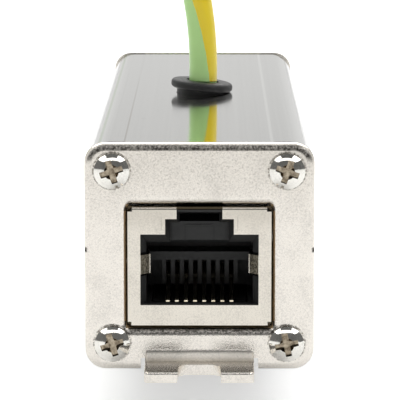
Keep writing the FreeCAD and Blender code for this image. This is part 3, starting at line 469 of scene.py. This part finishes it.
band_place = 0.0078
band_half_width = 0.0003
epoxy = Paint("epoxy", (0.02, 0.02, 0.021), 0.5)
cathode_band = line_at(epoxy.y.size(), band_place, band_half_width)
epoxy.set("Base Color", epoxy.mix(cathode_band, (0.02, 0.02, 0.021), (0.55, 0.55, 0.54)))
epoxy.set("Roughness", epoxy.noise(2500.0).span(0.3, 0.7, 0.42, 0.6))
dress(epoxy, *(f"suppressor_{i}" for i in range(1, 5)))


# Board terminal and ring terminal: tin-plated copper. The post on the board takes
# the wire's inner end, and the ring is crimped to its free end.

tin = nickel("tin_plate", (0.76, 0.76, 0.75), 0.24, 0.36, 0.000008)
dress(tin, "board_terminal", "ring_terminal")


# Earth wire: stranded copper in soft green insulation with a yellow stripe that
# winds slowly round it. It leaves the box through the grommet, bends over to the
# left and lies beside the box, with a vinyl sleeve near its end.

def insulation(name, colour, deep, pale):
    """Soft, slightly glossy wire insulation whose colour drifts a little."""
    paint = Paint(name, colour, 0.32, coat=0.25)
    drift = paint.noise(260.0)
    paint.set("Base Color", paint.mix(drift.span(0.3, 0.7), deep, pale))
    paint.set("Roughness", drift.span(0.3, 0.7, 0.28, 0.38))
    return paint


wire_green = insulation("wire_green", (0.54, 0.87, 0.33), (0.52, 0.84, 0.31), (0.56, 0.89, 0.35))
wire_yellow = insulation("wire_yellow", (0.97, 0.74, 0.02), (0.96, 0.72, 0.018), (0.98, 0.77, 0.03))

wire_radius = 0.00175
exit_z = 0.0321
lying_z = 0.0018
end_z = 0.00235

# The stripe's start and half width are in degrees, its winding in degrees a metre.
stripe_start = 46.0
stripe_winding = 4600.0
stripe_half = 74.0
stripe_steps = 16

route = [
    (0.0002, 0.0, exit_z),
    (0.0006, 0.0005, exit_z + 0.0135),
    (-0.0115, 0.0, exit_z + 0.0335),
    (-0.0345, -0.006, exit_z + 0.033),
    (-0.046, -0.014, exit_z + 0.0095),
    (-0.0465, 0.009, lying_z),
    (-0.0445, 0.040, lying_z),
    (-0.0405, 0.068, end_z),
]


def wire_curve(name, points, radius, tilts):
    """A smooth curve led by the route's points, as a tube or as the path of a profile."""
    curve = bpy.data.curves.new(name, "CURVE")
    curve.dimensions = "3D"
    curve.resolution_u = 24
    curve.bevel_depth = radius
    curve.bevel_resolution = 12
    curve.use_fill_caps = radius > 0
    spline = curve.splines.new("NURBS")
    spline.points.add(len(points) - 1)
    for point, place, tilt in zip(spline.points, points, tilts):
        point.co = (*place, 1.0)
        point.tilt = tilt
    spline.order_u = 3
    spline.use_endpoint_u = True
    piece = bpy.data.objects.new(name, curve)
    bpy.context.scene.collection.objects.link(piece)
    return piece


earth_wire = wire_curve("earth_wire_tube", route, wire_radius, [0.0] * len(route))
earth_wire.data.materials.append(wire_green.material)
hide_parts("earth_wire")
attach(earth_wire, "protector")

way = [0.0]
for before, after in zip(route, route[1:]):
    way.append(way[-1] + math.dist(before, after))
tilts = [math.radians(stripe_start - stripe_winding * w) for w in way]
stripe_path = wire_curve("earth_wire_stripe", route, 0.0, tilts)
strip = bpy.data.curves.new("stripe_section", "CURVE")
strip.dimensions = "2D"
arc = strip.splines.new("POLY")
arc.points.add(stripe_steps)
for i, point in enumerate(arc.points):
    angle = math.radians(-stripe_half + 2 * stripe_half * i / stripe_steps)
    lift = 0.00003 if 0 < i < stripe_steps else -0.00005
    distance = wire_radius + lift
    point.co = (distance * math.cos(angle), distance * math.sin(angle), 0.0, 1.0)
section = bpy.data.objects.new("stripe_section", strip)
bpy.context.scene.collection.objects.link(section)
stripe_path.data.bevel_mode = "OBJECT"
stripe_path.data.bevel_object = section
bpy.ops.object.select_all(action="DESELECT")
stripe_path.select_set(True)
bpy.context.view_layer.objects.active = stripe_path
bpy.ops.object.convert(target="MESH")
wire_stripe = bpy.context.object
wire_stripe.name = "earth_wire_stripe"
bpy.ops.object.shade_smooth()
bpy.data.objects.remove(section)
wire_stripe.data.materials.append(wire_yellow.material)
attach(wire_stripe, "protector")

dress(wire_green, "earth_wire_inner")

sleeve = Paint("sleeve_vinyl", (0.82, 0.6, 0.03), 0.3)
sleeve.set("Roughness", sleeve.noise(300.0).span(0.3, 0.7, 0.26, 0.38))
dress(sleeve, "terminal_sleeve")


# Grommet: soft black rubber with a little dust, pushed into the hole in the top
# face.

rubber = Paint("black_rubber", (0.022, 0.022, 0.023), 0.5)
rubber_grain = rubber.noise(2200.0, 3.0)
dust = rubber.noise(700.0, 3.0).span(0.6, 0.8)
rubber.set("Base Color", rubber.mix(dust * 0.2, (0.02, 0.02, 0.021), (0.12, 0.12, 0.12)))
rubber.set("Roughness", rubber_grain.span(0.3, 0.7, 0.4, 0.58))
rubber.bump(rubber_grain, 0.00002, 0.5)
dress(rubber, "grommet")


# Rail clip: a moulded base with a fixed hook, a zinc-plated latch that slides in
# it, and a coil spring that pushes the latch home. Four screws hold the base.

clip_plastic = Paint("clip_plastic", (0.03, 0.03, 0.032), 0.45)
clip_grain = clip_plastic.noise(2600.0)
clip_plastic.set("Roughness", clip_grain.span(0.3, 0.7, 0.38, 0.55))
clip_plastic.bump(clip_grain, 0.000008, 0.5)
dress(clip_plastic, "rail_clip")

zinc = nickel("zinc_plate", (0.72, 0.73, 0.75), 0.28, 0.4, 0.00001)
dress(zinc, "rail_latch", "latch_spring")
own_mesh(nodes["latch_spring"])


# Studio: a white floor and background, a wide soft lamp above and behind, a narrow
# one above in front and a weak one high up at each side. The room is dark over the
# camera, as the dark bands on the plate's top edge show.

floor_size = 8.0
floor_drop = 0.0001
floor_glow = 0.45
floor_paint = Paint("studio_floor", (0.92, 0.92, 0.92), 0.9)
lit_floor = floor_paint.shader.outputs[0]
floor_rays = floor_paint.node("ShaderNodeLightPath", {}, {})
glow = floor_paint.node("ShaderNodeEmission", {}, {"Strength": floor_glow})
lifted = floor_paint.node("ShaderNodeAddShader", {}, {0: lit_floor, 1: glow.outputs[0]})
floor_inputs = {0: floor_rays.outputs["Is Camera Ray"], 1: lit_floor, 2: lifted.outputs[0]}
seen_floor = floor_paint.node("ShaderNodeMixShader", {}, floor_inputs)
floor_paint.feed(floor_paint.output.inputs["Surface"], seen_floor.outputs[0])
bpy.ops.mesh.primitive_plane_add(size=floor_size, location=(0, 0, -floor_drop))
floor = bpy.context.object
floor.name = "studio_floor"
floor.data.materials.append(floor_paint.material)


def soft_lamp(name, place, target, width, height, power):
    """A rectangular lamp that faces a point."""
    bpy.ops.object.light_add(type="AREA", location=place)
    lamp = bpy.context.object
    lamp.name = name
    lamp.data.shape = "RECTANGLE"
    lamp.data.size = width
    lamp.data.size_y = height
    lamp.data.energy = power
    away = Vector(place) - Vector(target)
    lamp.rotation_euler = away.to_track_quat("Z", "Y").to_euler()
    return lamp


lamps = [
    soft_lamp("lamp_back", (0.0, 0.75, 0.85), (0, 0, 0.02), 1.6, 0.9, 10.0),
    soft_lamp("lamp_right", (0.6, -0.42, 0.75), (0, 0, 0.04), 0.4, 0.4, 1.4),
    soft_lamp("lamp_left", (-0.6, -0.42, 0.75), (0, 0, 0.04), 0.4, 0.4, 0.9),
    soft_lamp("lamp_front", (0.0, -0.603, 0.727), (0, -0.049, 0.018), 1.3, 0.18, 1.3),
]

world = bpy.data.worlds.new("studio")
bpy.context.scene.world = world
room = Tree(world)
around = room.node("ShaderNodeTexCoord", {}, {})
split = room.node("ShaderNodeSeparateXYZ", {}, {"Vector": around.outputs["Generated"]})
across, forward, up = (Field(room, socket) for socket in split.outputs)
half_turn = room.maths("ARCTAN2", up, -forward) / math.pi
room_tint = 0.985

# How bright the room is, from the horizon on the camera's side at 0, over the top at 0.5,
# to the horizon behind at 1.
room_levels = (
    (0.0, 0.95), (0.012, 0.9), (0.03, 0.12), (0.4, 0.12), (0.47, 0.6), (0.58, 0.8),
    (0.8, 0.62), (0.93, 0.5), (0.9556, 0.6), (0.969, 0.7), (1.0, 0.74),
)
stops = [(place, (level, level, level * room_tint, 1.0)) for place, level in room_levels]
ramp = room.node("ShaderNodeValToRGB", {"stops": stops}, {"Fac": half_turn})
wings = across.size().span(0.6, 0.8, 1.0, 1.2)
room_light = {"Color": ramp.outputs[0], "Strength": wings}
graded = room.node("ShaderNodeBackground", {}, room_light)
white = room.node("ShaderNodeBackground", {}, {"Color": (1, 1, 1, 1), "Strength": 1.0})
rays = room.node("ShaderNodeLightPath", {}, {})
room_inputs = {0: rays.outputs["Is Camera Ray"], 1: graded.outputs[0], 2: white.outputs[0]}
shown = room.node("ShaderNodeMixShader", {}, room_inputs)
room.node("ShaderNodeOutputWorld", {}, {"Surface": shown.outputs[0]})


# Camera: in front of the plate and a little above the box, as in the photograph.

camera_place = (0.00149, -0.3462, 0.07095)
camera_aim = Vector((0.00006, -0.0492, 0.0244))
bpy.ops.object.camera_add(location=camera_place)
camera = bpy.context.object
camera.name = "camera"
camera.rotation_euler = (camera.location - camera_aim).to_track_quat("Z", "Y").to_euler()
camera.data.lens = 246.0
camera.data.sensor_width = 36.0
camera.data.clip_start = 0.01
bpy.context.scene.camera = camera
bpy.context.scene.view_settings.view_transform = "Standard"
